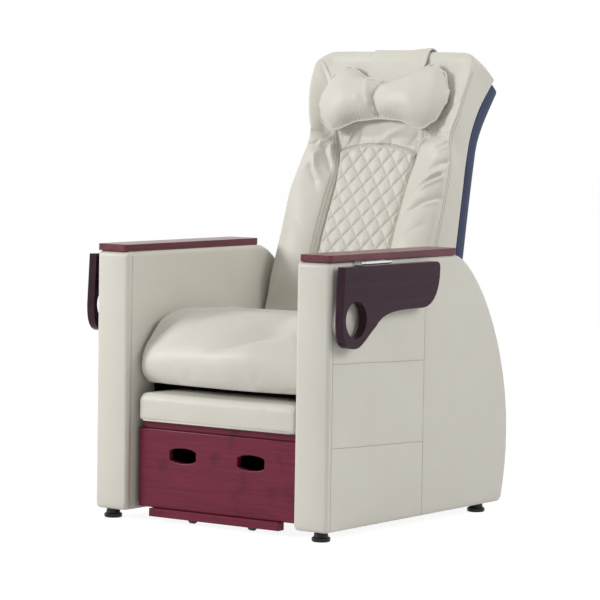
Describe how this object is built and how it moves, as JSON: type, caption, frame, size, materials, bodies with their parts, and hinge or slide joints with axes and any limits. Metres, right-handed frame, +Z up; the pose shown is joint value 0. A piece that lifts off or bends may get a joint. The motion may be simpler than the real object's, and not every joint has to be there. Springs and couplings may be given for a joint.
{
  "type": "pedicure spa chair",
  "caption": "Reclining upholstered pedicure chair with wooden arm rails, drop-down side trays with cup holes, quilted back, headrest pillow and rolling pull-out foot box.",
  "frame": {"origin": "on the floor under the middle of the chair's bounding box", "axes": "+Z up, -Y the way the sitter faces, +X to the right as seen from the front"},
  "size_m": [0.768, 0.9107, 1.1712],
  "materials": {
    "cream_leather": "satin grained",
    "navy_leather": "satin grained",
    "mahogany": "lacquered",
    "tray_lacquer": "gloss lacquered",
    "plywood": "bare",
    "black_plastic": "moulded",
    "zinc_steel": "zinc plated",
    "chrome": "polished"
  },
  "bodies": {
    "base": {"left_arm": "cream_leather", "right_arm": "cream_leather", "left_arm_rail": "mahogany", "right_arm_rail": "mahogany", "front_left_foot": "black_plastic", "front_right_foot": "black_plastic", "rear_left_foot": "black_plastic", "rear_right_foot": "black_plastic", "seat_deck": "plywood", "seat_cushion": "cream_leather", "left_seat_bearer": "plywood", "right_seat_bearer": "plywood", "left_box_guide": "black_plastic", "right_box_guide": "black_plastic", "rear_seat_rail": "plywood", "lower_cross_rail": "plywood", "rear_panel": "cream_leather", "left_pivot_bracket": "zinc_steel", "right_pivot_bracket": "zinc_steel", "left_pivot_pin": "zinc_steel", "right_pivot_pin": "zinc_steel", "strut_foot_cup": "zinc_steel", "strut_cylinder": "black_plastic", "left_tray_bracket": "chrome", "right_tray_bracket": "chrome", "left_tray_pin": "chrome", "right_tray_pin": "chrome"},
    "backrest": {"back_board": "plywood", "back_cushion": "cream_leather", "back_shell": "navy_leather", "headrest_pillow": "cream_leather", "pillow_flap": "cream_leather", "left_back_link": "zinc_steel", "right_back_link": "zinc_steel", "strut_lever": "zinc_steel", "strut_lever_pin": "zinc_steel"},
    "strut": {"strut_rod": "zinc_steel"},
    "left_side_tray": {"left_tray": "tray_lacquer", "left_tray_leaf": "chrome"},
    "right_side_tray": {"right_tray": "tray_lacquer", "right_tray_leaf": "chrome"},
    "foot_box": {"box_front_panel": "mahogany", "box_left_side": "mahogany", "box_right_side": "mahogany", "box_rear_panel": "mahogany", "box_floor": "mahogany", "box_top_board": "mahogany", "box_plinth": "mahogany", "footrest_pad": "cream_leather", "front_left_fork": "zinc_steel", "front_right_fork": "zinc_steel", "rear_left_fork": "zinc_steel", "rear_right_fork": "zinc_steel"},
    "front_left_caster": {"front_left_wheel": "black_plastic"},
    "front_right_caster": {"front_right_wheel": "black_plastic"},
    "rear_left_caster": {"rear_left_wheel": "black_plastic"},
    "rear_right_caster": {"rear_right_wheel": "black_plastic"}
  },
  "joints": [
    {"name": "back_recline", "type": "hinge", "parent": "base", "child": "backrest", "pos_m": [0, 0.098, 0.391], "axis": [-1, 0, 0], "range_deg": [0, 25]},
    {"name": "strut_stroke", "type": "slide", "parent": "base", "child": "strut", "axis": [0, 0, -1], "range_m": [0, 0.0413]},
    {"name": "left_tray_swing", "type": "hinge", "parent": "base", "child": "left_side_tray", "pos_m": [-0.37, -0.298, 0.6575], "axis": [0, 1, 0], "range_deg": [0, 90]},
    {"name": "right_tray_swing", "type": "hinge", "parent": "base", "child": "right_side_tray", "pos_m": [0.37, -0.298, 0.6575], "axis": [0, -1, 0], "range_deg": [0, 90]},
    {"name": "foot_box_slide", "type": "slide", "parent": "base", "child": "foot_box", "axis": [0, -1, 0], "range_m": [0, 0.33]},
    {"name": "front_left_roll", "type": "hinge", "parent": "foot_box", "child": "front_left_caster", "pos_m": [-0.09, -0.395, 0.0135], "axis": [1, 0, 0], "continuous": true},
    {"name": "front_right_roll", "type": "hinge", "parent": "foot_box", "child": "front_right_caster", "pos_m": [0.09, -0.395, 0.0135], "axis": [1, 0, 0], "continuous": true},
    {"name": "rear_left_roll", "type": "hinge", "parent": "foot_box", "child": "rear_left_caster", "pos_m": [-0.09, -0.052, 0.0135], "axis": [1, 0, 0], "continuous": true},
    {"name": "rear_right_roll", "type": "hinge", "parent": "foot_box", "child": "rear_right_caster", "pos_m": [0.09, -0.052, 0.0135], "axis": [1, 0, 0], "continuous": true}
  ],
  "couplings": [
    {"joint": "strut_stroke", "follows": "back_recline", "m_per_rad": 0.094249}
  ]
}
